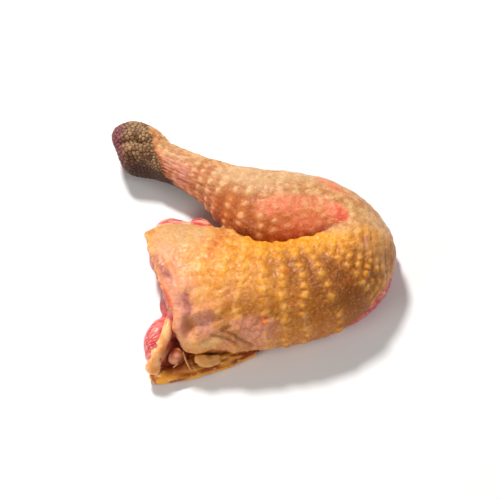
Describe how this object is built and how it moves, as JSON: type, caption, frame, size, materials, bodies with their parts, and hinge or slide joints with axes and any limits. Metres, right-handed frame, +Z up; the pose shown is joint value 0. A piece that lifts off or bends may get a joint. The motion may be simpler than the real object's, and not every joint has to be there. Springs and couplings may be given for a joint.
{
  "type": "raw guinea fowl leg",
  "caption": "Raw guinea fowl leg with thigh, bent knee and drumstick down to the scaly hock, skin on top and bare thigh muscle underneath.",
  "frame": {"origin": "middle of the bounding box in plan, at the height of the surface that the leg lies on", "axes": "+X from the hip end to the bent knee, +Y from the thigh to the drumstick, +Z up, the thin way through the leg"},
  "size_m": [0.1346, 0.1338, 0.0354],
  "materials": {
    "skin": "raw skin with golden fat under it, moist satin",
    "muscle": "bare raw muscle, wet and glossy",
    "fat": "soft yellow fat, moist",
    "cartilage": "pale joint cartilage, moist and smooth"
  },
  "bodies": {
    "root": {"leg": "skin", "thigh_muscle": "muscle", "fat_strip": "fat", "fat_flap": "fat", "hip_knob": "cartilage", "fat_pad": "fat"}
  },
  "joints": []
}
